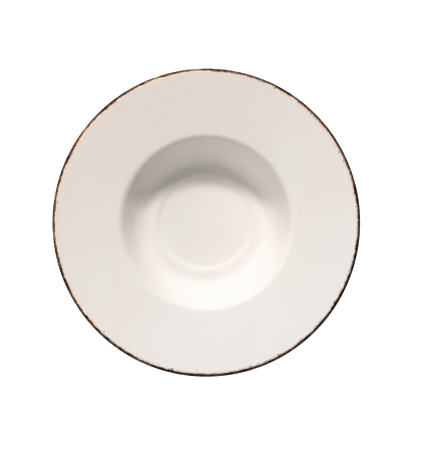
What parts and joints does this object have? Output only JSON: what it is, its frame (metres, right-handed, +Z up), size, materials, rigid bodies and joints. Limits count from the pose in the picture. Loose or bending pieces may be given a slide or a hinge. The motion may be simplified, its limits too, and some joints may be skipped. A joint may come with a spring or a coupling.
{
  "type": "tasting plate",
  "caption": "Small round ceramic plate with a deep round well, a wide gently rising flange, a brown dappled edge and a foot ring, for serving a small portion.",
  "frame": {"origin": "middle of the foot ring's standing face, on the table", "axes": "+Z up along the axis of the round plate, out of the well's mouth"},
  "size_m": [0.165, 0.165, 0.0281],
  "materials": {
    "clay": "bare fired clay, matt and slightly gritty",
    "ivory_glaze": "satin warm ivory glaze",
    "brown_glaze": "satin dark brown glaze, dappled"
  },
  "bodies": {
    "root": {"clay_body": "clay", "face_glaze": "ivory_glaze", "edge_glaze": "brown_glaze", "back_glaze": "ivory_glaze", "recess_glaze": "ivory_glaze"}
  },
  "joints": []
}
